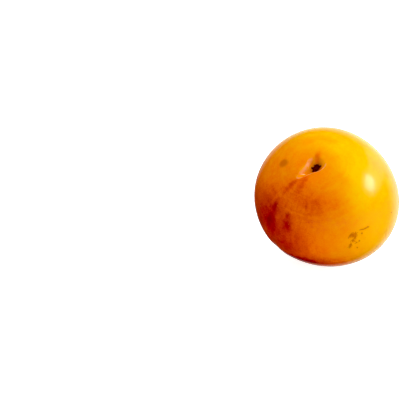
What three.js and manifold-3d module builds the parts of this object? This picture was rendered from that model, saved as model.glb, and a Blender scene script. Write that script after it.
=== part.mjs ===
// A whole yellow plum, as picked and stalkless, lying on its lower cheek.
// Millimetres, +Z up. The origin is the middle of the small flat spot that the fruit rests on.
//
// The fruit is one closed skin around its own axis. A point of the skin is found by its polar
// angle from the stem end (0 at the stem, 180 at the blossom end) and by its turn round the axis
// (0 on the suture, growing counter-clockwise as seen from the stem end).

import * as THREE from "three";
import { mergeVertices } from "three/addons/utils/BufferGeometryUtils.js";
import Module from "manifold-3d";

const { clamp, degToRad, smoothstep } = THREE.MathUtils;

// Body: an egg of revolution, a little oval and a little three-cornered in cross-section
const meanRadius = 27.7; // at the fruit's girth
const halfLength = 28.15; // from the centre to each end, before the hollow and the tip
const ovalShare = 0.0365; // how far the oval's long side stands out, of the radius
const ovalTurn = degToRad(127.5);
const cornerShare = 0.01; // the same for the three soft corners
const cornerTurn = degToRad(-3.7);
const shoulderSwell = 0.55; // fuller shoulders round the stem end
const shoulderFadeStart = degToRad(70); // polar angles between which the shoulders give way
const shoulderFadeEnd = degToRad(110);

// Suture: the shallow valley from the stem end to the blossom end
const sutureDepth = 0.3;
const sutureHalfWidth = 2.2;
const sutureLobe = 0.22; // the fuller flesh that stands on both sides of the valley
const sutureLobeReach = 7.5;
const sutureDrift = degToRad(11); // how far the valley turns aside on its way down
const driftStart = degToRad(15); // polar angles between which it does so
const driftEnd = degToRad(80);
const lobeFadeStart = degToRad(60); // turns away from the valley between which the lobes die out
const lobeFadeEnd = degToRad(102);

// Stem end: a wide basin, and in it a small pit that is drawn out to a notch where the suture starts
const basinDepth = 1.3;
const basinReach = 8.5;
const pitDepth = 3.2;
const pitLipRadius = 2.7; // on the steep side
const pitFloorRadius = 1.7;
const notchReach = 6.1; // how much farther out the lip lies in the notch
const notchTurn = 0.05; // radians
const notchSpread = 0.28;
const gullyReach = 2.2; // how much farther out the floor runs towards the notch
const gullyTurn = 0.14; // radians, because the floor hugs the steep side
const gullySpread = 0.24;
const backReach = 1.7; // how much farther out the lip lies opposite the steep side
const backTurn = degToRad(-112);
const rampTurn = degToRad(10); // the floor climbs evenly, away from this turn
const rampFoot = 3.2; // from the fruit's axis to where the climb ends
const rampTop = 2.6; // and to where it starts
const creaseDepth = 0.45; // a soft crease that leads up the back of the pit
const creaseTurn = degToRad(-110);
const creaseHalfWidth = 0.95;
const creaseReach = 3.2; // from the fruit's axis to the crease's middle
const creaseLength = 1.6;

// Blossom end: a low blunt tip, bent away from the suture
const tipHeight = 2.7;
const tipReach = 6;
const tipRounding = 1;
const tipBend = 1.6;

// How the fruit lies
const lean = degToRad(41.1); // of the stem end, from upright, towards -Y
const leanHeading = degToRad(-19.3); // and from -Y towards -X
const spin = degToRad(221.1); // of the suture about the fruit's own axis
const flatSpotDepth = 0.38; // how much the resting cheek is pressed flat

// Facets
const turnSteps = 72;
const polarSteps = 62;
const endCrowding = 0.38; // draws the rings towards both ends, where the detail is

// The same turn between -180 and 180 degrees
function wrapTurn(turn) {
  return Math.atan2(Math.sin(turn), Math.cos(turn));
}

// How far the skin stands out along the suture: the valley, and the fuller flesh beside it
function sutureRelief(polar, turn) {
  const drift = sutureDrift * smoothstep(polar, driftStart, driftEnd);
  const aside = wrapTurn(turn - drift);
  const side = Math.sin(polar);
  const offset = meanRadius * side * aside;
  const valley = sutureDepth * Math.exp(-((offset / sutureHalfWidth) ** 2));
  const lobes = sutureLobe * Math.exp(-((offset / sutureLobeReach) ** 2));
  const nearby = 1 - smoothstep(Math.abs(aside), lobeFadeStart, lobeFadeEnd);
  return (lobes - valley) * side * nearby;
}

// How deep the stem end is sunk at a point
function stemHollow(polar, turn) {
  const reach = meanRadius * polar;
  const aside = wrapTurn(turn);
  const notch = 1 / (1 + ((aside - notchTurn) / notchSpread) ** 2);
  const gully = 1 / (1 + ((aside - gullyTurn) / gullySpread) ** 2);
  const back = (1 + Math.cos(turn - backTurn)) / 2;
  const lip = pitLipRadius + notchReach * notch + backReach * back;
  const floor = pitFloorRadius + gullyReach * gully;
  const wall = 1 - smoothstep(reach, floor, lip);
  const basin = basinDepth * Math.exp(-((reach / basinReach) ** 2));
  const climb = reach * Math.cos(turn - rampTurn) + rampFoot;
  const ramp = clamp(climb / (rampFoot + rampTop), 0, 1);
  const overCrease = reach * Math.sin(turn - creaseTurn);
  const alongCrease = reach * Math.cos(turn - creaseTurn) - creaseReach;
  const creaseLine = Math.exp(-((overCrease / creaseHalfWidth) ** 2));
  const crease = creaseDepth * creaseLine * Math.exp(-((alongCrease / creaseLength) ** 2));
  return basin + crease + pitDepth * wall * ramp;
}

// How far the blossom end's tip stands out at a point
function blossomTip(polar, turn) {
  const reach = meanRadius * (Math.PI - polar);
  const along = reach * Math.cos(turn) + tipBend;
  const across = reach * Math.sin(turn);
  const away = Math.hypot(along, across, tipRounding);
  return tipHeight * Math.exp(-((away / tipReach) ** 1.35));
}

// Distance of the skin from the fruit's centre
function skinRadius(polar, turn) {
  const side = Math.sin(polar);
  const oval = ovalShare * Math.cos(2 * (turn - ovalTurn));
  const corners = cornerShare * Math.cos(3 * (turn - cornerTurn));
  const girth = meanRadius * (1 + (oval + corners) * side);
  const body = 1 / Math.hypot(side / girth, Math.cos(polar) / halfLength);
  const stemHalf = 1 - smoothstep(polar, shoulderFadeStart, shoulderFadeEnd);
  const shoulder = shoulderSwell * Math.sin(2 * polar) ** 2 * stemHalf;
  return body + shoulder + sutureRelief(polar, turn) - stemHollow(polar, turn) + blossomTip(polar, turn);
}

// The whole skin as a closed mesh around the fruit's own axis, stem end up
function fruitGeometry() {
  const positions = [];
  const faces = [];
  const addPoint = (polar, turn) => {
    const r = skinRadius(polar, turn);
    const side = r * Math.sin(polar);
    positions.push(side * Math.cos(turn), side * Math.sin(turn), r * Math.cos(polar));
  };
  addPoint(0, 0);
  for (let ring = 1; ring < polarSteps; ring++) {
    const even = (Math.PI * ring) / polarSteps;
    const polar = even - endCrowding * Math.sin(2 * even);
    for (let step = 0; step < turnSteps; step++) {
      addPoint(polar, (2 * Math.PI * step) / turnSteps);
    }
  }
  addPoint(Math.PI, 0);
  const last = positions.length / 3 - 1;
  const at = (ring, step) => 1 + (ring - 1) * turnSteps + (step % turnSteps);
  for (let step = 0; step < turnSteps; step++) {
    faces.push(0, at(1, step), at(1, step + 1));
    faces.push(last, at(polarSteps - 1, step + 1), at(polarSteps - 1, step));
    for (let ring = 1; ring < polarSteps - 1; ring++) {
      faces.push(at(ring, step), at(ring + 1, step), at(ring + 1, step + 1));
      faces.push(at(ring, step), at(ring + 1, step + 1), at(ring, step + 1));
    }
  }
  const geometry = new THREE.BufferGeometry();
  geometry.setAttribute("position", new THREE.Float32BufferAttribute(positions, 3));
  geometry.setIndex(faces);
  return geometry;
}

const wasm = await Module();
wasm.setup();

function solidOf(geometry) {
  const bare = geometry.clone();
  bare.deleteAttribute("normal");
  bare.deleteAttribute("uv");
  const merged = mergeVertices(bare, 1e-4);
  return new wasm.Manifold(
    new wasm.Mesh({
      numProp: 3,
      vertProperties: new Float32Array(merged.attributes.position.array),
      triVerts: new Uint32Array(merged.index.array),
    }),
  );
}

function geometryOf(solid) {
  const { vertProperties, triVerts } = solid.getMesh();
  const geometry = new THREE.BufferGeometry();
  geometry.setAttribute("position", new THREE.BufferAttribute(vertProperties, 3));
  geometry.setIndex(new THREE.BufferAttribute(triVerts, 1));
  geometry.computeVertexNormals();
  return geometry;
}

// Lays the fruit down, presses its lowest cheek flat and stands it on z = 0 over the origin
function layDown(geometry) {
  geometry.rotateZ(spin).rotateX(lean).rotateZ(leanHeading);
  const points = geometry.attributes.position;
  let lowest = 0;
  for (let i = 1; i < points.count; i++) {
    if (points.getZ(i) < points.getZ(lowest)) lowest = i;
  }
  const foot = new THREE.Vector3().fromBufferAttribute(points, lowest);
  geometry.translate(-foot.x, -foot.y, -foot.z - flatSpotDepth);
  const blockSide = 4 * meanRadius;
  const block = new THREE.BoxGeometry(blockSide, blockSide, blockSide);
  block.translate(0, 0, -blockSide / 2);
  return geometryOf(solidOf(geometry).subtract(solidOf(block)));
}

const skin = new THREE.MeshStandardMaterial({
  color: new THREE.Color(0.96, 0.6, 0.06),
  roughness: 0.36,
  metalness: 0,
});

const plum = new THREE.Group();
const fruit = new THREE.Mesh(layDown(fruitGeometry()), skin);
fruit.name = "fruit";
plum.add(fruit);

export default plum;
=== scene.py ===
# A whole yellow plum that lies on its lower cheek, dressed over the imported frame.
# Blender works in metres; the fruit's own sizes are kept in millimetres and scaled once.

import bpy
from math import cos, pi, radians, sin
from mathutils import Matrix, Vector


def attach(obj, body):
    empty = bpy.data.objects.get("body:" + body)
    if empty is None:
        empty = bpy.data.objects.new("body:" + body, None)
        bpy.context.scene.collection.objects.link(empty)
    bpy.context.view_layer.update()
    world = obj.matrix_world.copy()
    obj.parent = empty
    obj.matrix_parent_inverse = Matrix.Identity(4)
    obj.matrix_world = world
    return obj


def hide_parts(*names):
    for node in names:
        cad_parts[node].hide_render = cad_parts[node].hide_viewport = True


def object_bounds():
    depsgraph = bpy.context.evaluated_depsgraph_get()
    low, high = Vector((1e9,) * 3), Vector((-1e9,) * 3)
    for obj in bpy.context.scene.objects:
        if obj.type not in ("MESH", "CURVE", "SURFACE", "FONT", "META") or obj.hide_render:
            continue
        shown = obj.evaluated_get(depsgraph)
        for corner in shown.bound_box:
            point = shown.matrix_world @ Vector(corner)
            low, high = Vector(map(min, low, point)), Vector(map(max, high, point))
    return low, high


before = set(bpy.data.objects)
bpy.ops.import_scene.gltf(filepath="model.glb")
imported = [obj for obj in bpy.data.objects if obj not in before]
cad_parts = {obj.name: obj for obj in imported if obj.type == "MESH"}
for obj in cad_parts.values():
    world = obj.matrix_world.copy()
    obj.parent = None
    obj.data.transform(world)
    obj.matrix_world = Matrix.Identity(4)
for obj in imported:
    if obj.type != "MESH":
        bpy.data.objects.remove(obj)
cadLow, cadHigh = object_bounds()
cadMiddle = (cadLow + cadHigh) / 2
millimetre = 0.001
print("frame loaded, box", [round(side, 4) for side in cadHigh - cadLow])


# Numbers in a node tree: the usual signs between them add Math nodes,
# so that shapes and colours can be written as plain formulas
class Number:
    def __init__(self, socket):
        self.socket = socket

    def __add__(self, other):
        return mathNode("ADD", self, other)

    def __radd__(self, other):
        return mathNode("ADD", other, self)

    def __sub__(self, other):
        return mathNode("SUBTRACT", self, other)

    def __rsub__(self, other):
        return mathNode("SUBTRACT", other, self)

    def __mul__(self, other):
        return mathNode("MULTIPLY", self, other)

    def __rmul__(self, other):
        return mathNode("MULTIPLY", other, self)

    def __truediv__(self, other):
        return mathNode("DIVIDE", self, other)

    def __rtruediv__(self, other):
        return mathNode("DIVIDE", other, self)

    def __pow__(self, other):
        return mathNode("POWER", self, other)


def plug(item, place):
    if isinstance(item, Number):
        item = item.socket
    if isinstance(item, bpy.types.NodeSocket):
        place.id_data.links.new(item, place)
    else:
        place.default_value = item


def mathNode(operation, *terms):
    tree = next(term.socket.id_data for term in terms if isinstance(term, Number))
    node = tree.nodes.new("ShaderNodeMath")
    node.operation = operation
    for term, place in zip(terms, node.inputs):
        plug(term, place)
    return Number(node.outputs[0])


def sine(angle):
    return mathNode("SINE", angle)


def cosine(angle):
    return mathNode("COSINE", angle)


def squared(value):
    return value * value


def hypotenuse(*legs):
    total = squared(legs[0])
    for leg in legs[1:]:
        total = total + squared(leg)
    return mathNode("SQRT", total)


def wrapTurn(turn):  # the same turn between -180 and 180 degrees
    return mathNode("ARCTAN2", sine(turn), cosine(turn))


def bell(offset, width):  # 1 on the line, dying out to both sides
    return mathNode("EXPONENT", squared(offset / width) * -1)


def smoothstep(value, low, high):
    node = value.socket.id_data.nodes.new("ShaderNodeMapRange")
    node.interpolation_type = "SMOOTHSTEP"
    plug(value, node.inputs["Value"])
    plug(low, node.inputs["From Min"])
    plug(high, node.inputs["From Max"])
    return Number(node.outputs["Result"])


def vectorNode(operation, *terms):
    tree = next(term.id_data for term in terms if isinstance(term, bpy.types.NodeSocket))
    node = tree.nodes.new("ShaderNodeVectorMath")
    node.operation = operation
    for term, place in zip(terms, node.inputs):
        plug(term, place)
    return node


def dotWith(vector, direction):
    return Number(vectorNode("DOT_PRODUCT", vector, direction).outputs["Value"])


def scaled(vector, factors):
    return vectorNode("MULTIPLY", vector, factors).outputs["Vector"]


def split(vector):
    node = vector.id_data.nodes.new("ShaderNodeSeparateXYZ")
    plug(vector, node.inputs[0])
    return [Number(output) for output in node.outputs]


def joined(x, y, z):
    tree = next(term.socket.id_data for term in (x, y, z) if isinstance(term, Number))
    node = tree.nodes.new("ShaderNodeCombineXYZ")
    for term, place in zip((x, y, z), node.inputs):
        plug(term, place)
    return node.outputs[0]


def between(value, rise, fall):  # 1 from the end of the rise to the start of the fall
    return smoothstep(value, *rise) * (1 - smoothstep(value, *fall))


def noise(vector, scale, detail, roughness):  # about 0.5 on average
    node = vector.id_data.nodes.new("ShaderNodeTexNoise")
    plug(vector, node.inputs["Vector"])
    plug(scale, node.inputs["Scale"])
    plug(detail, node.inputs["Detail"])
    plug(roughness, node.inputs["Roughness"])
    return Number(node.outputs[0])


def unevenness(vector, grain):  # the same noise about 0
    return noise(vector, *grain) - 0.5


def grainOf(shape, label):  # one of a piece's noise patterns: scale, octaves, roughness
    return shape[label + "Scale"], shape[label + "Octaves"], shape[label + "Roughness"]


def cellDistance(vector, spacing):  # how far the nearest of many scattered dots is, in spacings
    node = vector.id_data.nodes.new("ShaderNodeTexVoronoi")
    plug(vector, node.inputs["Vector"])
    plug(1 / spacing, node.inputs["Scale"])
    return Number(node.outputs["Distance"])


def mixColour(factor, first, second):
    node = factor.socket.id_data.nodes.new("ShaderNodeMix")
    node.data_type = "RGBA"
    plug(factor, node.inputs[0])
    for colour, place in ((first, node.inputs[6]), (second, node.inputs[7])):
        plug((*colour, 1) if isinstance(colour, tuple) else colour, place)
    return node.outputs[2]


# The fruit's own shape, around its own axis. A place on the skin is found by its polar angle
# from the stem end and by its turn round the axis, which starts on the suture.
fruitShape = {
    "meanRadius": 27.7,
    "halfLength": 28.15,
    "ovalShare": 0.0365,  # how far the oval's long side stands out, of the radius
    "ovalTurn": radians(127.5),
    "cornerShare": 0.01,  # the same for three soft corners
    "cornerTurn": radians(-3.7),
    "shoulderSwell": 0.55,
    "shoulderFadeStart": radians(70),
    "shoulderFadeEnd": radians(110),
    "sutureDepth": 0.3,
    "sutureHalfWidth": 2.2,
    "sutureLobe": 0.22,  # the fuller flesh on both sides of the valley
    "sutureLobeReach": 7.5,
    "sutureDrift": radians(11),
    "driftStart": radians(15),
    "driftEnd": radians(80),
    "lobeFadeStart": radians(60),
    "lobeFadeEnd": radians(102),
    "basinDepth": 1.3,
    "basinReach": 8.5,
    "pitDepth": 3.2,
    "pitLipRadius": 2.7,
    "pitFloorRadius": 1.7,
    "notchReach": 6.1,  # how much farther out the lip lies in the notch
    "notchTurn": 0.05,
    "notchSpread": 0.28,
    "gullyReach": 2.2,  # how much farther out the floor runs towards the notch
    "gullyTurn": 0.14,
    "gullySpread": 0.24,
    "backReach": 1.7,  # how much farther out the lip lies opposite the steep side
    "backTurn": radians(-112),
    "rampTurn": radians(10),  # the floor climbs evenly, away from this turn
    "rampFoot": 3.2,
    "rampTop": 2.6,
    "creaseDepth": 0.45,  # a soft crease that leads up the back of the pit
    "creaseTurn": radians(-110),
    "creaseHalfWidth": 0.95,
    "creaseReach": 3.2,
    "creaseLength": 1.6,
    "tipHeight": 2.7,
    "tipReach": 6.0,
    "tipRounding": 1.0,
    "tipSharpness": 1.35,
    "tipBend": 1.6,  # away from the suture
}


def sutureRelief(shape, polar, turn):
    drift = shape["sutureDrift"] * smoothstep(polar, shape["driftStart"], shape["driftEnd"])
    aside = wrapTurn(turn - drift)
    side = sine(polar)
    offset = shape["meanRadius"] * side * aside
    valley = shape["sutureDepth"] * bell(offset, shape["sutureHalfWidth"])
    lobes = shape["sutureLobe"] * bell(offset, shape["sutureLobeReach"])
    away = mathNode("ABSOLUTE", aside)
    nearby = 1 - smoothstep(away, shape["lobeFadeStart"], shape["lobeFadeEnd"])
    return (lobes - valley) * side * nearby


def pitEdges(shape, turn):  # how far out the pit's floor and lip lie
    aside = wrapTurn(turn)
    notch = 1 / (1 + squared((aside - shape["notchTurn"]) / shape["notchSpread"]))
    gully = 1 / (1 + squared((aside - shape["gullyTurn"]) / shape["gullySpread"]))
    back = (1 + cosine(turn - shape["backTurn"])) / 2
    lip = shape["pitLipRadius"] + shape["notchReach"] * notch + shape["backReach"] * back
    return shape["pitFloorRadius"] + shape["gullyReach"] * gully, lip


def stemHollow(shape, polar, turn):
    reach = shape["meanRadius"] * polar
    floor, lip = pitEdges(shape, turn)
    wall = 1 - smoothstep(reach, floor, lip)
    basin = shape["basinDepth"] * bell(reach, shape["basinReach"])
    climb = reach * cosine(turn - shape["rampTurn"]) + shape["rampFoot"]
    ramp = mathNode("MAXIMUM", climb / (shape["rampFoot"] + shape["rampTop"]), 0.0)
    ramp = mathNode("MINIMUM", ramp, 1.0)
    overCrease = reach * sine(turn - shape["creaseTurn"])
    alongCrease = reach * cosine(turn - shape["creaseTurn"]) - shape["creaseReach"]
    creaseLine = bell(overCrease, shape["creaseHalfWidth"])
    crease = shape["creaseDepth"] * creaseLine * bell(alongCrease, shape["creaseLength"])
    return basin + crease + shape["pitDepth"] * wall * ramp


def blossomTip(shape, polar, turn):
    reach = shape["meanRadius"] * (pi - polar)
    along = reach * cosine(turn) + shape["tipBend"]
    across = reach * sine(turn)
    away = hypotenuse(along, across, shape["tipRounding"])
    fade = (away / shape["tipReach"]) ** shape["tipSharpness"]
    return shape["tipHeight"] * mathNode("EXPONENT", fade * -1)


def skinRadius(shape, polar, turn):  # distance of the skin from the fruit's centre
    side = sine(polar)
    oval = shape["ovalShare"] * cosine(2 * (turn - shape["ovalTurn"]))
    corners = shape["cornerShare"] * cosine(3 * (turn - shape["cornerTurn"]))
    girth = shape["meanRadius"] * (1 + (oval + corners) * side)
    body = 1 / hypotenuse(side / girth, cosine(polar) / shape["halfLength"])
    stemHalf = 1 - smoothstep(polar, shape["shoulderFadeStart"], shape["shoulderFadeEnd"])
    shoulder = shape["shoulderSwell"] * squared(sine(2 * polar)) * stemHalf
    relief = sutureRelief(shape, polar, turn) - stemHollow(shape, polar, turn)
    return body + shoulder + relief + blossomTip(shape, polar, turn)


# How the fruit lies: the stem end leans towards -Y and a little to -X, on a small flat spot
fruitRest = {
    "lean": radians(41.1),
    "heading": radians(-19.3),
    "spin": radians(221.1),
    "flatSpotDepth": 0.38,
}
turnedBy = (
    Matrix.Rotation(fruitRest["heading"], 3, "Z")
    @ Matrix.Rotation(fruitRest["lean"], 3, "X")
    @ Matrix.Rotation(fruitRest["spin"], 3, "Z")
)


def newTree(name, numbers):  # a shape tree, each of its numbers a named input
    tree = bpy.data.node_groups.new(name, "GeometryNodeTree")
    tree.interface.new_socket("Geometry", in_out="OUTPUT", socket_type="NodeSocketGeometry")
    for label, value in numbers.items():
        kind = "NodeSocketInt" if isinstance(value, int) else "NodeSocketFloat"
        tree.interface.new_socket(label, in_out="INPUT", socket_type=kind)
    start = tree.nodes.new("NodeGroupInput")
    inputs = {label: Number(start.outputs[label]) for label in numbers}
    return tree, inputs


def ownAngles(place):  # polar angle and turn of a place around the fruit's own axis
    x, y, z = split(place)
    return mathNode("ARCTAN2", hypotenuse(x, y), z), mathNode("ARCTAN2", y, x)


def ownPlace(radius, polar, turn):
    side = radius * sine(polar)
    return joined(side * cosine(turn), side * sine(turn), radius * cosine(polar))


def readPosition(tree):
    return tree.nodes.new("GeometryNodeInputPosition").outputs[0]


def movePoints(geometry, position):
    node = geometry.id_data.nodes.new("GeometryNodeSetPosition")
    plug(geometry, node.inputs["Geometry"])
    plug(position, node.inputs["Position"])
    return node.outputs[0]


def keepPlace(geometry, place):  # the finish reads the fruit's own coordinates from here
    node = geometry.id_data.nodes.new("GeometryNodeStoreNamedAttribute")
    node.data_type = "FLOAT_VECTOR"
    node.domain = "POINT"
    node.inputs["Name"].default_value = "ownPlace"
    plug(geometry, node.inputs["Geometry"])
    plug(place, node.inputs["Value"])
    return node.outputs[0]


def readPlace(tree):
    node = tree.nodes.new("GeometryNodeInputNamedAttribute")
    node.data_type = "FLOAT_VECTOR"
    node.inputs["Name"].default_value = "ownPlace"
    return node.outputs["Attribute"]


def startBall(tree, shape):  # an even sphere grid, and where its points are
    ball = tree.nodes.new("GeometryNodeMeshUVSphere")
    plug(shape["segments"], ball.inputs["Segments"])
    plug(shape["rings"], ball.inputs["Rings"])
    return ball.outputs["Mesh"], readPosition(tree)


def layDown(place):  # from the fruit's own axis and millimetres to the frame's axes and metres
    node = place.id_data.nodes.new("ShaderNodeVectorRotate")
    node.rotation_type = "EULER_XYZ"
    plug(place, node.inputs["Vector"])
    node.inputs["Rotation"].default_value = turnedBy.to_euler("XYZ")
    return scaled(node.outputs[0], (millimetre,) * 3)


def finishTree(tree, geometry, material):
    realize = tree.nodes.new("GeometryNodeRealizeInstances")
    paint = tree.nodes.new("GeometryNodeSetMaterial")
    smooth = tree.nodes.new("GeometryNodeSetShadeSmooth")
    end = tree.nodes.new("NodeGroupOutput")
    plug(geometry, smooth.inputs["Geometry"])
    plug(smooth.outputs[0], realize.inputs["Geometry"])
    plug(realize.outputs[0], paint.inputs["Geometry"])
    paint.inputs["Material"].default_value = material
    plug(paint.outputs[0], end.inputs[0])


def finishOnSkin(tree, geometry, place, skinOffset, material):  # for a piece that lies on the skin
    geometry = keepPlace(geometry, place)
    placed = vectorNode("ADD", layDown(readPlace(tree)), skinOffset).outputs["Vector"]
    finishTree(tree, movePoints(geometry, placed), material)


def makePiece(name, tree, numbers):  # runs the tree once and keeps its plain mesh
    piece = bpy.data.objects.new(name, bpy.data.meshes.new(name))
    bpy.context.scene.collection.objects.link(piece)
    modifier = piece.modifiers.new("shape", "NODES")
    modifier.node_group = tree
    for item in tree.interface.items_tree:
        if item.in_out == "INPUT":
            modifier[item.identifier] = numbers[item.name]
    graph = bpy.context.evaluated_depsgraph_get()
    mesh = bpy.data.meshes.new_from_object(
        piece.evaluated_get(graph), preserve_all_data_layers=True, depsgraph=graph
    )
    piece.modifiers.remove(modifier)
    piece.data = mesh
    mesh.name = name
    print(name, "made,", len(mesh.polygons), "faces")
    return piece


# Finishes. Every pattern is laid out in the fruit's own coordinates, in millimetres.
def newFinish(name):
    material = bpy.data.materials.new(name)
    material.use_nodes = True
    tree = material.node_tree
    shader = tree.nodes["Principled BSDF"]
    place = tree.nodes.new("ShaderNodeAttribute")
    place.attribute_name = "ownPlace"
    return material, shader, place.outputs["Vector"]


def addBump(shader, height, distance, strength):
    node = shader.id_data.nodes.new("ShaderNodeBump")
    node.inputs["Strength"].default_value = strength
    node.inputs["Distance"].default_value = distance * millimetre
    plug(height, node.inputs["Height"])
    plug(node.outputs[0], shader.inputs["Normal"])


def directionAt(polar, turn):
    return Vector((sin(polar) * cos(turn), sin(polar) * sin(turn), cos(polar)))


# How much a place lies within an oval mark on the skin, from 1 in its core to 0 outside
def markAt(place, mark, ragged, core=0.0):
    polar, turn = radians(mark["polar"]), radians(mark["turn"])
    down = directionAt(polar + pi / 2, turn)
    sideways = Vector((-sin(turn), cos(turn), 0))
    tilt = radians(mark.get("tilt", 0))
    lengthwise = down * cos(tilt) + sideways * sin(tilt)
    crosswise = sideways * cos(tilt) - down * sin(tilt)
    along = dotWith(place, lengthwise) / (mark["length"] / 2)
    across = dotWith(place, crosswise) / (mark["width"] / 2)
    far = hypotenuse(along, across) + ragged
    front = mathNode("GREATER_THAN", dotWith(place, directionAt(polar, turn)), 0.0)
    return (1 - smoothstep(far, mark.get("core", core), 1.0)) * front


skinLook = {
    "ripeColours": (  # from the shaded cheek to the sunny one: share of blush, colour
        (0.0, (0.96, 0.55, 0.002)),
        (0.2, (0.97, 0.43, 0.002)),
        (0.4, (0.97, 0.31, 0.002)),
        (0.6, (0.93, 0.185, 0.002)),
        (0.75, (0.80, 0.105, 0.002)),
        (0.87, (0.65, 0.053, 0.002)),
        (1.0, (0.49, 0.007, 0.002)),
        (1.2, (0.30, 0.002, 0.002)),
    ),
    "sunnyPolar": 75,  # degrees, the middle of the sunny cheek
    "sunnyTurn": 10,
    "shadedBlush": 0.16,  # halfway between the two cheeks
    "sunnySwing": 0.62,
    "shadySwing": 0.36,
    "deepCheek": 0.16,  # more red in the middle of the sunny cheek
    "deepCheekRise": (0.7, 0.97),
    "stemRing": 0.12,  # a faint red ring round the stem end
    "stemRingReach": 4.5,
    "shadedClouds": 0.5,  # broad orange clouds on the side away from the sun
    "shadedFall": (-0.5, 0.0),
    "cloudLevel": 0.38,
    "streakSwing": 0.26,  # soft streaks down the sunny cheek
    "fineStreaks": 0.5,
    "streakStretch": 0.3,
    "streakBlush": (0.15, 0.7),  # they come in where the skin is red enough
    "streakPolar": (0.2, 0.7),  # and far enough from the stem, in radians
    "arcSwing": 0.28,  # faint arcs round the stem end
    "arcStretch": 9,
    "arcBand": ((0.2, 0.4), (0.7, 1.2)),
    "mottleSwing": 0.19,
    "fleckSwing": 0.16,
    "speckleSwing": 0.28,
    "raggedness": 0.45,  # of the marks' edges
    "redTip": 0.9,
    "redTipReach": (0.5, 7.5),
    "redTipRaggedness": 3,
    "dryTip": 0.9,
    "dryTipReach": (0.3, 0.9),
    "dryTipColour": (0.10, 0.025, 0.006),
    "lenticelSpacing": 2.3,
    "lenticelRadius": 0.16,
    "lenticelEdge": (0.5, 1.6),  # of the radius
    "lenticelShare": 0.3,
    "paleLenticel": (0.97, 0.50, 0.08),
    "darkLenticel": (0.62, 0.20, 0.004),
    "lenticelPaling": (0.45, 0.7),  # the share of blush between which they turn pale
    "bruiseColour": (0.62, 0.135, 0.003),
    "bruiseRaggedness": 0.3,
    "russetColour": (0.60, 0.15, 0.002),
    "russetCore": 0.3,
    "russetTatter": 0.9,
    "russetCracks": 0.45,
    "crackEdge": (0.36, 0.5),
    "roughness": 0.2,
    "hazeSwing": 0.1,
    "speckleHaze": 0.05,
    "highlightHaze": 0.15,
}
skinGrain = {  # noise patterns: scale, octaves, roughness
    "streaks": (3.0, 3.0, 0.55),
    "fineStreaks": (14.0, 2.0, 0.55),
    "clouds": (0.11, 3.0, 0.55),
    "arcs": (1.6, 3.0, 0.6),
    "mottle": (0.35, 4.0, 0.6),
    "fleck": (0.9, 2.0, 0.6),
    "speckle": (2.2, 3.0, 0.6),
    "edges": (0.8, 3.0, 0.6),
    "paintedHighlight": (1.1, 3.0, 0.6),
    "tatter": (1.5, 4.0, 0.7),
    "cracks": (3.0, 3.0, 0.6),
    "haze": (0.35, 3.0, 0.6),
    "peel": (0.8, 3.0, 0.5),
    "finePeel": (3.2, 2.0, 0.5),
}
pitLook = {  # turns in radians, lengths in millimetres
    # A painted highlight: the window's reflection, painted pale on the pit's open wall and along its
    # steep lip
    "paintedHighlightColour": (0.96, 0.38, 0.16),
    "wallHighlight": 0.85,  # on the open wall
    "wallHighlightHeight": 0.7,  # from the floor to the lip
    "wallHighlightSpread": 0.19,
    "openSide": ((-1.9, -1.1), (-0.12, 0.06)),
    "lipHighlight": 0.75,  # on the lip of the steep side
    "lipHighlightInset": 0.15,
    "lipHighlightWidth": 0.32,
    "highlightPatches": (0.25, 0.6),
    "steepSide": ((-0.05, 0.1), (2.4, 3.0)),
    # Darker brown towards the stalk's scar, on the floor of the pit
    "scarSurroundColour": (0.40, 0.08, 0.004),
    "scarDarkening": 0.7,
    "scarDarkeningReach": (0.9, 2.6),
    "scarDarkeningRaggedness": 1.5,
}
skinRelief = {
    "depth": 0.12,  # millimetres
    "strength": 0.55,
    "peel": 0.5,
    "finePeel": 0.12,
    "pores": 0.25,
    "cork": 0.3,
}
skinShader = {
    "IOR": 1.44,
    "Specular IOR Level": 0.42,
    "Coat Weight": 0.12,
    "Coat Roughness": 0.12,
    "Subsurface Weight": 0.1,
    "Subsurface Radius": (1.0, 0.35, 0.08),
    "Subsurface Scale": 2.5 * millimetre,
}

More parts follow.
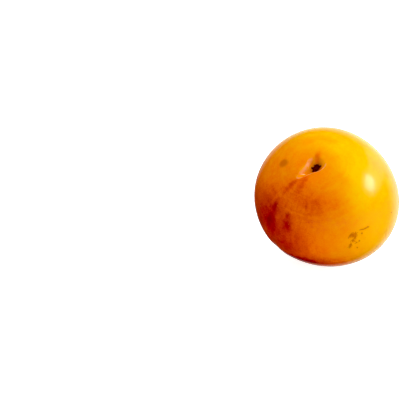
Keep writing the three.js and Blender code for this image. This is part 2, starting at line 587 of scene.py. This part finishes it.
# Marks: where the middle lies in degrees, length and width in millimetres, tilt off the
# meridian in degrees, the share of the mark that is its core, and how strong it is
blushMarks = (  # redder than the skin round them, or paler where the strength is below zero
    # The flame along the suture
    {"polar": 61, "turn": 8, "length": 20, "width": 7.5, "tilt": 8, "strength": 0.15},
    {"polar": 65, "turn": 6.5, "length": 12, "width": 3.0, "tilt": 4, "strength": 0.15},
    {"polar": 65, "turn": -1, "length": 16, "width": 12, "strength": 0.05},
    # Streaks that run out from the notch of the pit
    {"polar": 46, "turn": 6.5, "length": 9, "width": 3.2, "tilt": 10, "strength": 0.17},
    {"polar": 26, "turn": 6.5, "length": 15, "width": 3.8, "tilt": -3, "strength": 0.24},
    {"polar": 21, "turn": 25, "length": 12, "width": 4.4, "strength": 0.22},
    {"polar": 15.5, "turn": 20, "length": 4, "width": 3.6, "strength": 0.12},
    # Dabs beside the flame
    {"polar": 47.5, "turn": 24.5, "length": 4.6, "width": 3.0, "strength": 0.18},
    {"polar": 54.5, "turn": 27.5, "length": 13, "width": 6.5, "tilt": 4, "strength": 0.17},
    {"polar": 57, "turn": 28.5, "length": 7, "width": 4.0, "strength": 0.07},
    {"polar": 35, "turn": 45, "length": 7.5, "width": 1.6, "strength": 0.1},
    {"polar": 47.5, "turn": 49, "length": 2.2, "width": 1.8, "strength": 0.09},
    # Deep red low on the sunny cheek, partly painted shade that darkens the lower-left side, away from
    # the lamps
    {"polar": 82, "turn": 30, "length": 14, "width": 12, "tilt": 18, "strength": 0.07},
    {"polar": 100, "turn": 36, "length": 10, "width": 24, "tilt": 8, "core": 0.1, "strength": 0.34},
    {"polar": 100, "turn": 62, "length": 11, "width": 30, "core": 0.1, "strength": 0.27},
    {"polar": 90, "turn": 62, "length": 6, "width": 32, "strength": 0.13},
    # Orange tints over the shoulders
    {"polar": 34, "turn": 55, "length": 20, "width": 20, "strength": 0.2},
    {"polar": 35, "turn": 86, "length": 23, "width": 12, "strength": 0.15},
    {"polar": 56, "turn": 88, "length": 14, "width": 12, "strength": 0.06},
    {"polar": 30, "turn": 24, "length": 17, "width": 9.5, "core": 0.1, "strength": 0.08},
    {"polar": 26, "turn": -138, "length": 6, "width": 13, "strength": 0.12},
    {"polar": 25, "turn": 116, "length": 12, "width": 8, "strength": 0.13},
    {"polar": 25, "turn": -105, "length": 7, "width": 12, "strength": 0.13},
    # In the pit
    # Painted shade: redder and darker along the crease at the back of the pit
    {"polar": 8, "turn": -125, "length": 8, "width": 3.6, "strength": 0.2},
    {"polar": 3, "turn": 30, "length": 8, "width": 7, "core": 0.2, "strength": 0.15},
    {"polar": 9, "turn": -12, "length": 8.5, "width": 5, "core": 0.2, "strength": -0.24},
    {"polar": 16.5, "turn": 4, "length": 5, "width": 3.4, "core": 0.2, "strength": -0.17},
    # Yellower patches
    {"polar": 43, "turn": -30, "length": 11, "width": 14, "strength": -0.11},
    {"polar": 26, "turn": -18, "length": 12, "width": 9, "strength": -0.07},
    {"polar": 44, "turn": 112, "length": 13, "width": 11, "strength": -0.14},
    {"polar": 38, "turn": 135, "length": 24, "width": 20, "strength": -0.18},
    {"polar": 22, "turn": -168, "length": 11, "width": 11, "strength": -0.1},
    {"polar": 74, "turn": 86, "length": 16, "width": 16, "strength": -0.05},
)
bruiseMarks = (
    {"polar": 27.8, "turn": -40.5, "length": 5.2, "width": 4.8, "core": 0.4, "strength": 0.85},
)
russetMarks = (
    # A hook of cork
    {"polar": 64.6, "turn": 86, "length": 3.6, "width": 1.5, "tilt": -53},
    {"polar": 67.2, "turn": 89.2, "length": 5.0, "width": 1.4, "tilt": -20},
    {"polar": 65.8, "turn": 87.7, "length": 2.6, "width": 2.2},
    {"polar": 70.6, "turn": 86.3, "length": 2.4, "width": 1.4, "tilt": -20},
    {"polar": 75.1, "turn": 82.8, "length": 4.4, "width": 1.4, "tilt": -26},
    # A scratch and specks beside it
    {"polar": 64.6, "turn": 96.7, "length": 3.2, "width": 0.7, "tilt": 62},
    {"polar": 65.8, "turn": 100.6, "length": 3.4, "width": 0.9, "tilt": 79},
    {"polar": 67.9, "turn": 95.3, "length": 1.3, "width": 1.1},
    {"polar": 73.8, "turn": 90.9, "length": 1.1, "width": 0.9},
    {"polar": 74.2, "turn": 88.4, "length": 1.2, "width": 0.9},
    {"polar": 80.5, "turn": 87.5, "length": 1.4, "width": 0.7},
    # Marks farther round
    {"polar": 76.9, "turn": 127, "length": 2.0, "width": 0.5, "tilt": 50},
    {"polar": 102, "turn": 205, "length": 4.2, "width": 1.1, "tilt": 60},
    {"polar": 106, "turn": 214, "length": 2.2, "width": 1.6},
    {"polar": 120, "turn": -70, "length": 2.8, "width": 1.8, "tilt": 35},
)


def tatterAt(place):  # tears the edges of the russet marks
    return unevenness(place, skinGrain["tatter"]) * skinLook["russetTatter"]


def russetCover(place, tatter):  # the strongest of the marks at a place
    cover = 0.0
    for mark in russetMarks:
        cover = mathNode("MAXIMUM", markAt(place, mark, tatter, skinLook["russetCore"]), cover)
    return cover


def tipDistance(polar, turn):  # from the middle of the blossom tip
    reach = fruitShape["meanRadius"] * (pi - polar)
    return hypotenuse(reach * cosine(turn) + fruitShape["tipBend"], reach * sine(turn))


def sunlight(place):  # from 1 in the middle of the sunny cheek to -1 opposite it
    sunny = directionAt(radians(skinLook["sunnyPolar"]), radians(skinLook["sunnyTurn"]))
    return dotWith(vectorNode("NORMALIZE", place).outputs["Vector"], sunny)


# Blush: deepest on the sunny cheek, a faint ring round the stem, drawn out in soft streaks
def cheekBlush(place, polar, turn):
    sunlit = sunlight(place)
    blush = skinLook["shadedBlush"] + skinLook["sunnySwing"] * mathNode("MAXIMUM", sunlit, 0.0)
    blush = blush + skinLook["shadySwing"] * mathNode("MINIMUM", sunlit, 0.0)
    blush = blush + skinLook["deepCheek"] * smoothstep(sunlit, *skinLook["deepCheekRise"])
    ring = skinLook["stemRingReach"]
    blush = blush + skinLook["stemRing"] * bell(fruitShape["meanRadius"] * polar - ring, ring)
    inBlush = smoothstep(blush, *skinLook["streakBlush"])
    inBlush = inBlush * smoothstep(polar, *skinLook["streakPolar"])
    shaded = 1 - smoothstep(sunlit, *skinLook["shadedFall"])
    clouds = noise(place, *skinGrain["clouds"]) - skinLook["cloudLevel"]
    blush = blush + clouds * skinLook["shadedClouds"] * shaded
    spread = joined(cosine(turn), sine(turn), polar * skinLook["streakStretch"])
    streaks = unevenness(spread, skinGrain["streaks"])
    streaks = streaks + unevenness(spread, skinGrain["fineStreaks"]) * skinLook["fineStreaks"]
    blush = blush + streaks * skinLook["streakSwing"] * inBlush
    rings = joined(cosine(turn), sine(turn), polar * skinLook["arcStretch"])
    nearStem = between(polar, *skinLook["arcBand"])
    return blush + unevenness(rings, skinGrain["arcs"]) * skinLook["arcSwing"] * nearStem


def ripeColour(blush):
    ramp = blush.socket.id_data.nodes.new("ShaderNodeValToRGB")
    stops = ramp.color_ramp.elements
    while len(stops) < len(skinLook["ripeColours"]):
        stops.new(0.5)
    deepest = skinLook["ripeColours"][-1][0]
    for stop, (share, colour) in zip(stops, skinLook["ripeColours"]):
        stop.position = share / deepest
        stop.color = (*colour, 1)
    plug(blush / deepest, ramp.inputs[0])
    return ramp.outputs[0]


def pitPaintedHighlight(place, stemReach, turn):  # painted highlight: a pale reflection painted on the pit's open wall and along its steep lip
    floor, lip = pitEdges(fruitShape, turn)
    aside = wrapTurn(turn)
    height = pitLook["wallHighlightHeight"]
    aboveMiddle = (stemReach - floor * (1 - height) - lip * height) / (lip - floor)
    onWall = bell(aboveMiddle, pitLook["wallHighlightSpread"]) * between(aside, *pitLook["openSide"])
    onLip = bell(stemReach - lip + pitLook["lipHighlightInset"], pitLook["lipHighlightWidth"])
    onLip = onLip * between(aside, *pitLook["steepSide"])
    paintedHighlight = onWall * pitLook["wallHighlight"] + onLip * pitLook["lipHighlight"]
    return paintedHighlight * smoothstep(noise(place, *skinGrain["paintedHighlight"]), *pitLook["highlightPatches"])


def makeSkinFinish():
    material, shader, place = newFinish("plumSkin")
    polar, turn = ownAngles(place)
    stemReach = fruitShape["meanRadius"] * polar
    fromTip = tipDistance(polar, turn)
    ragged = unevenness(place, skinGrain["edges"]) * skinLook["raggedness"]
    speckle = unevenness(place, skinGrain["speckle"])

    blush = cheekBlush(place, polar, turn)
    blush = blush + unevenness(place, skinGrain["mottle"]) * skinLook["mottleSwing"]
    blush = blush + speckle * skinLook["speckleSwing"]
    blush = blush + unevenness(place, skinGrain["fleck"]) * skinLook["fleckSwing"]
    for mark in blushMarks:
        blush = blush + markAt(place, mark, ragged) * mark["strength"]
    tornTip = fromTip + ragged * skinLook["redTipRaggedness"]
    blush = blush + (1 - smoothstep(tornTip, *skinLook["redTipReach"])) * skinLook["redTip"]
    colour = ripeColour(blush)

    # Lenticels: tiny sunk pores, darker on the yellow skin and pale on the red
    poreSize = skinLook["lenticelRadius"] / skinLook["lenticelSpacing"]
    pore = cellDistance(place, skinLook["lenticelSpacing"])
    innerEdge, outerEdge = skinLook["lenticelEdge"]
    pore = 1 - smoothstep(pore, poreSize * innerEdge, poreSize * outerEdge)
    inRed = smoothstep(blush, *skinLook["lenticelPaling"])
    darkOrPale = mixColour(inRed, skinLook["darkLenticel"], skinLook["paleLenticel"])
    colour = mixColour(pore * skinLook["lenticelShare"], colour, darkOrPale)

    # The dry point of the tip, where the flower sat, and soft brown spots under the skin
    dryTip = 1 - smoothstep(fromTip + ragged, *skinLook["dryTipReach"])
    colour = mixColour(dryTip * skinLook["dryTip"], colour, skinLook["dryTipColour"])
    for mark in bruiseMarks:
        shade = markAt(place, mark, ragged * skinLook["bruiseRaggedness"]) * mark["strength"]
        colour = mixColour(shade, colour, skinLook["bruiseColour"])

    # The pit: a pale painted highlight, and darker brown towards the stalk's scar
    paintedHighlight = pitPaintedHighlight(place, stemReach, turn)
    # Painted highlight: the pale colour stands in for the window's reflection in the pit
    colour = mixColour(mathNode("MINIMUM", paintedHighlight, 1.0), colour, pitLook["paintedHighlightColour"])
    # Darker brown towards the stalk's scar
    scarDarkeningReach = stemReach + ragged * pitLook["scarDarkeningRaggedness"]
    scarDarkening = 1 - smoothstep(scarDarkeningReach, *pitLook["scarDarkeningReach"])
    colour = mixColour(scarDarkening * pitLook["scarDarkening"], colour, pitLook["scarSurroundColour"])

    # Russet: dry corky marks, broken up by cracks
    tatter = tatterAt(place)
    cracks = skinLook["russetCracks"]
    whole = smoothstep(noise(place, *skinGrain["cracks"]), *skinLook["crackEdge"])
    russet = russetCover(place, tatter) * (1 - cracks + cracks * whole)
    colour = mixColour(russet, colour, skinLook["russetColour"])
    plug(colour, shader.inputs["Base Color"])

    # Gloss: a little hazier in patches and where the pit's highlight is painted
    roughness = skinLook["roughness"] + unevenness(place, skinGrain["haze"]) * skinLook["hazeSwing"]
    roughness = roughness + speckle * skinLook["speckleHaze"] + paintedHighlight * skinLook["highlightHaze"]
    plug(roughness, shader.inputs["Roughness"])
    for label, value in skinShader.items():
        shader.inputs[label].default_value = value

    # Relief: orange-peel unevenness, sunk pores, raised cork
    height = noise(place, *skinGrain["peel"]) * skinRelief["peel"]
    height = height + noise(place, *skinGrain["finePeel"]) * skinRelief["finePeel"]
    height = height - pore * skinRelief["pores"] + russet * (1 + tatter) * skinRelief["cork"]
    addBump(shader, height, skinRelief["depth"], skinRelief["strength"])
    return material


corkLook = {
    "grain": (4.0, 4.0, 0.65),
    "contrast": (0.3, 0.7),
    "dark": (0.50, 0.10, 0.002),
    "light": (0.78, 0.24, 0.006),
    "roughness": 0.6,
    "roughnessSwing": 0.3,
    "specular": 0.04,
    "reliefDepth": 0.1,
    "reliefStrength": 0.6,
}
scarLook = {
    "grain": (3.5, 5.0, 0.7),
    "contrast": (0.35, 0.75),
    "dark": (0.012, 0.001, 0.001),
    "light": (0.32, 0.07, 0.015),
    "roughness": 0.75,
    "roughnessSwing": 0.3,
    "specular": 0.25,
    "reliefDepth": 0.35,
    "reliefStrength": 0.8,
}


def makeDryFinish(name, look):
    material, shader, place = newFinish(name)
    grain = noise(place, *look["grain"])
    colour = mixColour(smoothstep(grain, *look["contrast"]), look["dark"], look["light"])
    plug(colour, shader.inputs["Base Color"])
    roughness = look["roughness"] + (grain - 0.5) * look["roughnessSwing"]
    plug(roughness, shader.inputs["Roughness"])
    shader.inputs["Specular IOR Level"].default_value = look["specular"]
    addBump(shader, grain, look["reliefDepth"], look["reliefStrength"])
    return material


# The skin: a sphere grid, its rings drawn towards both ends, pushed out to the fruit's shape
skinGrid = {
    "segments": 384,
    "rings": 256,
    "endCrowding": 0.4,
    "waver": 0.1,  # how uneven the surface is, in millimetres
    "waverScale": 3.5,
    "waverOctaves": 2.0,
    "waverRoughness": 0.5,
}


def makeSkin(material):
    numbers = {**skinGrid, **fruitShape, "flatSpotDepth": fruitRest["flatSpotDepth"]}
    tree, shape = newTree("fruitSkin", numbers)
    ball, here = startBall(tree, shape)
    evenPolar, turn = ownAngles(here)
    polar = evenPolar - shape["endCrowding"] * sine(2 * evenPolar)
    waver = unevenness(here, grainOf(shape, "waver")) * shape["waver"]
    place = ownPlace(skinRadius(shape, polar, turn) + waver, polar, turn)
    geometry = keepPlace(ball, place)
    geometry = movePoints(geometry, layDown(readPlace(tree)))

    # Over the frame's middle, its lowest cheek a little below the table, then pressed flat
    limits = tree.nodes.new("GeometryNodeBoundBox")
    plug(geometry, limits.inputs["Geometry"])
    lowX, lowY, lowZ = split(limits.outputs["Min"])
    highX, highY, _ = split(limits.outputs["Max"])
    x, y, z = split(readPosition(tree))
    height = z - lowZ - shape["flatSpotDepth"] * millimetre
    rested = joined(
        x - (lowX + highX) / 2 + cadMiddle.x,
        y - (lowY + highY) / 2 + cadMiddle.y,
        mathNode("MAXIMUM", height, cadLow.z),
    )
    finishTree(tree, movePoints(geometry, rested), material)
    return makePiece("skin", tree, numbers)


# The dry scar that the stalk left on the floor of the pit: a ragged pad draped on the skin
scarForm = {
    "segments": 160,
    "rings": 48,
    "scarRadius": 1.75,
    "scarShift": 0.7,  # from the fruit's axis towards the notch
    "raggedness": 0.6,
    "rimLevel": 0.35,  # how much spike there is where the rim keeps its radius
    "spikeScale": 1.7,
    "spikeOctaves": 3.0,
    "spikeRoughness": 0.55,
    "spikeFrom": 0.4,
    "spikeTo": 0.7,
    "thickness": 0.2,
    "clearance": 0.06,  # how far even its rim stands out of the skin
    "rootDepth": 0.1,  # how far its underside is sunk in the skin
    "crownHeight": 0.55,  # a torn ring inside the rim
    "crownReach": 0.72,  # from the scar's middle, as a share of the rim's distance
    "crownWidth": 0.2,
    "tearScale": 5.0,
    "tearOctaves": 4.0,
    "tearRoughness": 0.75,
    "tearStretch": 0.5,  # draws the tears out from the middle to the rim
    "tearFrom": 0.35,
    "tearTo": 0.7,
    "crumbHeight": 0.25,
    "crumbScale": 6.0,
    "crumbOctaves": 3.0,
    "crumbRoughness": 0.7,
}


def makeScar(material, skinOffset):
    numbers = {**scarForm, **fruitShape}
    tree, shape = newTree("stalkScar", numbers)
    ball, here = startBall(tree, shape)
    x, y, z = split(here)
    turn = mathNode("ARCTAN2", y, x)
    out = hypotenuse(x, y)  # 0 in the middle, 1 at the rim
    around = joined(cosine(turn), sine(turn), 0.0)
    spikes = noise(around, *grainOf(shape, "spike"))
    spikes = smoothstep(spikes, shape["spikeFrom"], shape["spikeTo"])
    rim = shape["scarRadius"] * (1 + shape["raggedness"] * (spikes - shape["rimLevel"]))
    across = out * rim * cosine(turn) + shape["scarShift"]
    along = out * rim * sine(turn)
    polar = hypotenuse(across, along) / shape["meanRadius"]
    turnHere = mathNode("ARCTAN2", along, across)
    outward = joined(cosine(turn), sine(turn), out * shape["tearStretch"])
    torn = noise(outward, *grainOf(shape, "tear"))
    crown = bell(out - shape["crownReach"], shape["crownWidth"])
    crown = crown * shape["crownHeight"] * smoothstep(torn, shape["tearFrom"], shape["tearTo"])
    crumbs = unevenness(here, grainOf(shape, "crumb")) * shape["crumbHeight"]
    top = mathNode("GREATER_THAN", z, 0.0)
    edge = mathNode("SQRT", mathNode("MAXIMUM", 1 - squared(out), 0.0))
    lift = top * (shape["clearance"] + edge * shape["thickness"] + crown + crumbs * edge)
    sink = (1 - top) * (shape["rootDepth"] + edge * shape["thickness"])
    radius = skinRadius(shape, polar, turnHere) + lift - sink
    finishOnSkin(tree, ball, ownPlace(radius, polar, turnHere), skinOffset, material)
    return makePiece("stalkScar", tree, numbers)


# Flakes of cork, half sunk in the russet marks and denser towards the middle of each mark
flakeScatter = {
    "seed": 7,
    "segments": 320,
    "rings": 240,
    "density": 9.0,  # flakes in a square millimetre
    "smallest": 0.08,  # half the width of a flake, in millimetres
    "largest": 0.2,
    "elongation": 1.5,
    "flatness": 0.34,
    "flakeDetail": 2,
    "crumble": 0.012,
    "crumbleScale": 5.0,
    "crumbleOctaves": 2.0,
    "crumbleRoughness": 0.6,
}


def randomNumber(low, high, seed):  # another one for each flake
    node = seed.socket.id_data.nodes.new("FunctionNodeRandomValue")
    plug(low, node.inputs[2])
    plug(high, node.inputs[3])
    plug(seed, node.inputs["Seed"])
    return Number(node.outputs[1])


def scatterOn(geometry, density, seed):
    node = geometry.id_data.nodes.new("GeometryNodeDistributePointsOnFaces")
    plug(geometry, node.inputs["Mesh"])
    plug(density, node.inputs["Density"])
    plug(seed, node.inputs["Seed"])
    return node.outputs["Points"], node.outputs["Rotation"]


def twisted(rotation, turn):  # turned about its own upright axis
    node = rotation.id_data.nodes.new("FunctionNodeRotateRotation")
    node.rotation_space = "LOCAL"
    plug(rotation, node.inputs[0])
    plug(joined(0.0, 0.0, turn), node.inputs[1])
    return node.outputs[0]


def makeFlakes(material, skinOffset):
    numbers = {**flakeScatter, **fruitShape}
    tree, shape = newTree("corkFlakes", numbers)
    ball, here = startBall(tree, shape)
    polar, turn = ownAngles(here)
    geometry = movePoints(ball, ownPlace(skinRadius(shape, polar, turn), polar, turn))
    here = readPosition(tree)
    cover = russetCover(here, tatterAt(here))
    points, upright = scatterOn(geometry, cover * shape["density"], shape["seed"])
    flake = tree.nodes.new("GeometryNodeMeshIcoSphere")
    plug(shape["flakeDetail"], flake.inputs["Subdivisions"])
    wide = randomNumber(shape["smallest"], shape["largest"], shape["seed"])
    twist = randomNumber(0.0, 2 * pi, shape["seed"] + 1)
    spread = tree.nodes.new("GeometryNodeInstanceOnPoints")
    plug(points, spread.inputs["Points"])
    plug(flake.outputs["Mesh"], spread.inputs["Instance"])
    plug(twisted(upright, twist), spread.inputs["Rotation"])
    sides = joined(wide * shape["elongation"], wide, wide * shape["flatness"])
    plug(sides, spread.inputs["Scale"])
    loose = tree.nodes.new("GeometryNodeRealizeInstances")
    plug(spread.outputs[0], loose.inputs["Geometry"])
    spot = readPosition(tree)
    crumble = 1 + unevenness(spot, grainOf(shape, "crumble")) * shape["crumble"]
    crumbled = scaled(spot, joined(crumble, crumble, crumble))
    finishOnSkin(tree, loose.outputs[0], crumbled, skinOffset, material)
    return makePiece("corkFlakes", tree, numbers)


skin = makeSkin(makeSkinFinish())
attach(skin, "root")
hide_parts("fruit")

# Where the laid-down fruit's centre came to rest, read off the skin's own points
ownPoint = Vector(skin.data.attributes["ownPlace"].data[0].vector)
skinOffset = skin.data.vertices[0].co - turnedBy @ ownPoint * millimetre
scar = makeScar(makeDryFinish("dryStalkScar", scarLook), skinOffset)
flakes = makeFlakes(makeDryFinish("dryCork", corkLook), skinOffset)
for piece in (scar, flakes):
    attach(piece, "root")

# Camera: looks along +Y and down, with the fruit right of the middle
cameraSet = {
    "elevation": radians(22),
    "distance": 0.5,
    "focalPixels": 1263.0,  # the focal length, in pixels of the frame
    "frameSide": 400,
    "fruitPixel": (326.2, 197.05),  # where the fruit's middle falls, from the top left
    "sensor": 36.0,
}


def makeCamera():
    tilt = cameraSet["elevation"]
    forward = Vector((0, cos(tilt), -sin(tilt)))
    right = Vector((1, 0, 0))
    up = right.cross(forward)
    middle = cameraSet["frameSide"] / 2
    aside = cameraSet["fruitPixel"][0] - middle
    above = middle - cameraSet["fruitPixel"][1]
    sight = (forward * cameraSet["focalPixels"] + right * aside + up * above).normalized()
    data = bpy.data.cameras.new("camera")
    data.sensor_width = cameraSet["sensor"]
    data.lens = cameraSet["focalPixels"] * cameraSet["sensor"] / cameraSet["frameSide"]
    camera = bpy.data.objects.new("camera", data)
    bpy.context.scene.collection.objects.link(camera)
    camera.location = cadMiddle - sight * cameraSet["distance"]
    camera.rotation_euler = Matrix((right, up, -forward)).transposed().to_euler()
    bpy.context.scene.camera = camera


# Studio: a pale floor, a window and a white wall on the right, soft light from above and in front
white = (1, 1, 1, 1)
studio = {
    "floorRadius": 3.0,
    "floorSides": 96,
    "floorDrop": 0.02,  # millimetres below the fruit
    "floorColour": (0.9, 0.9, 0.9),
    "floorRoughness": 0.9,
    "floorSpecular": 0.1,
    "floorGlow": 0.9,
    "floorBounce": 0.12,  # how much of that glow also lights the fruit from below
    "roomLight": 0.06,
}
roomGlows = (  # bright parts of the room that the gloss mirrors, all angles in degrees
    {"aim": (153, -12), "glow": 1.15, "core": 2, "edge": 47},
    {"aim": (192, 0), "glow": 0.45, "core": 2, "edge": 20},
)
lamps = {  # aims and rolls in degrees, lengths in metres, power in watts
    "window": {"aim": (76.7, 28.6), "distance": 0.9, "size": (0.27, 0.33), "power": 2.45, "roll": -50},
    "wall": {"aim": (96, 26), "distance": 1.1, "size": (1.5, 0.47), "power": 2.7},
    "above": {"aim": (200, 70), "distance": 1.2, "size": (1.4, 1.4), "power": 17.7, "mirrored": False},
    "front": {"aim": (10, 35), "distance": 1.2, "size": (1.2, 1.2), "power": 5.55, "mirrored": False},
}


def towards(azimuth, height):  # azimuth 0 is the camera's side, 90 the right, 180 behind
    side, up = radians(azimuth), radians(height)
    return Vector((sin(side) * cos(up), -cos(side) * cos(up), sin(up)))


def makeFloor():
    sides = studio["floorSides"]
    reach = studio["floorRadius"]
    height = -studio["floorDrop"] * millimetre
    turns = [2 * pi * side / sides for side in range(sides)]
    rim = [(cos(turn) * reach, sin(turn) * reach, height) for turn in turns]
    mesh = bpy.data.meshes.new("floor")
    mesh.from_pydata(rim, [], [list(range(sides))])
    floor = bpy.data.objects.new("floor", mesh)
    bpy.context.scene.collection.objects.link(floor)
    floor.visible_glossy = False
    material = bpy.data.materials.new("paleFloor")
    material.use_nodes = True
    shader = material.node_tree.nodes["Principled BSDF"]
    shader.inputs["Base Color"].default_value = (*studio["floorColour"], 1)
    shader.inputs["Roughness"].default_value = studio["floorRoughness"]
    shader.inputs["Specular IOR Level"].default_value = studio["floorSpecular"]
    shader.inputs["Emission Color"].default_value = white
    seen = Number(material.node_tree.nodes.new("ShaderNodeLightPath").outputs["Is Camera Ray"])
    bounce = studio["floorBounce"]
    plug(bounce + seen * (studio["floorGlow"] - bounce), shader.inputs["Emission Strength"])
    mesh.materials.append(material)


def makeRoom():
    world = bpy.data.worlds.new("room")
    bpy.context.scene.world = world
    world.use_nodes = True
    tree = world.node_tree
    rays = tree.nodes.new("ShaderNodeLightPath").outputs
    seen, mirrored = Number(rays["Is Camera Ray"]), Number(rays["Is Glossy Ray"])
    direction = tree.nodes.new("ShaderNodeTexCoord").outputs["Generated"]
    light = studio["roomLight"]
    backdrop = -light
    for glow in roomGlows:
        facing = dotWith(direction, towards(*glow["aim"]))
        edge, core = cos(radians(glow["edge"])), cos(radians(glow["core"]))
        backdrop = glow["glow"] * smoothstep(facing, edge, core) + backdrop
    strength = light + seen * (1 - light) + mirrored * backdrop
    plug(strength, tree.nodes["Background"].inputs["Strength"])
    tree.nodes["Background"].inputs["Color"].default_value = white


def makeLamp(name, values):
    out = towards(*values["aim"])
    data = bpy.data.lights.new(name, "AREA")
    data.shape = "RECTANGLE"
    data.size, data.size_y = values["size"]
    data.energy = values["power"]
    lamp = bpy.data.objects.new(name, data)
    bpy.context.scene.collection.objects.link(lamp)
    lamp.location = cadMiddle + out * values["distance"]
    facing = (-out).to_track_quat("-Z", "Y").to_matrix()
    roll = Matrix.Rotation(radians(values.get("roll", 0)), 3, "Z")
    lamp.rotation_euler = (facing @ roll).to_euler()
    lamp.visible_glossy = values.get("mirrored", True)
    data.cycles.use_multiple_importance_sampling = lamp.visible_glossy


makeCamera()
makeFloor()
makeRoom()
for name, values in lamps.items():
    makeLamp(name, values)

# The render's black point sits a little above zero, for a touch more contrast
blackPoint = 0.011
viewSettings = bpy.context.scene.view_settings
viewSettings.view_transform = "Standard"
viewSettings.use_curve_mapping = True
viewSettings.curve_mapping.black_level = (blackPoint,) * 3
viewSettings.curve_mapping.update()
print("camera, floor, room and lamps set")
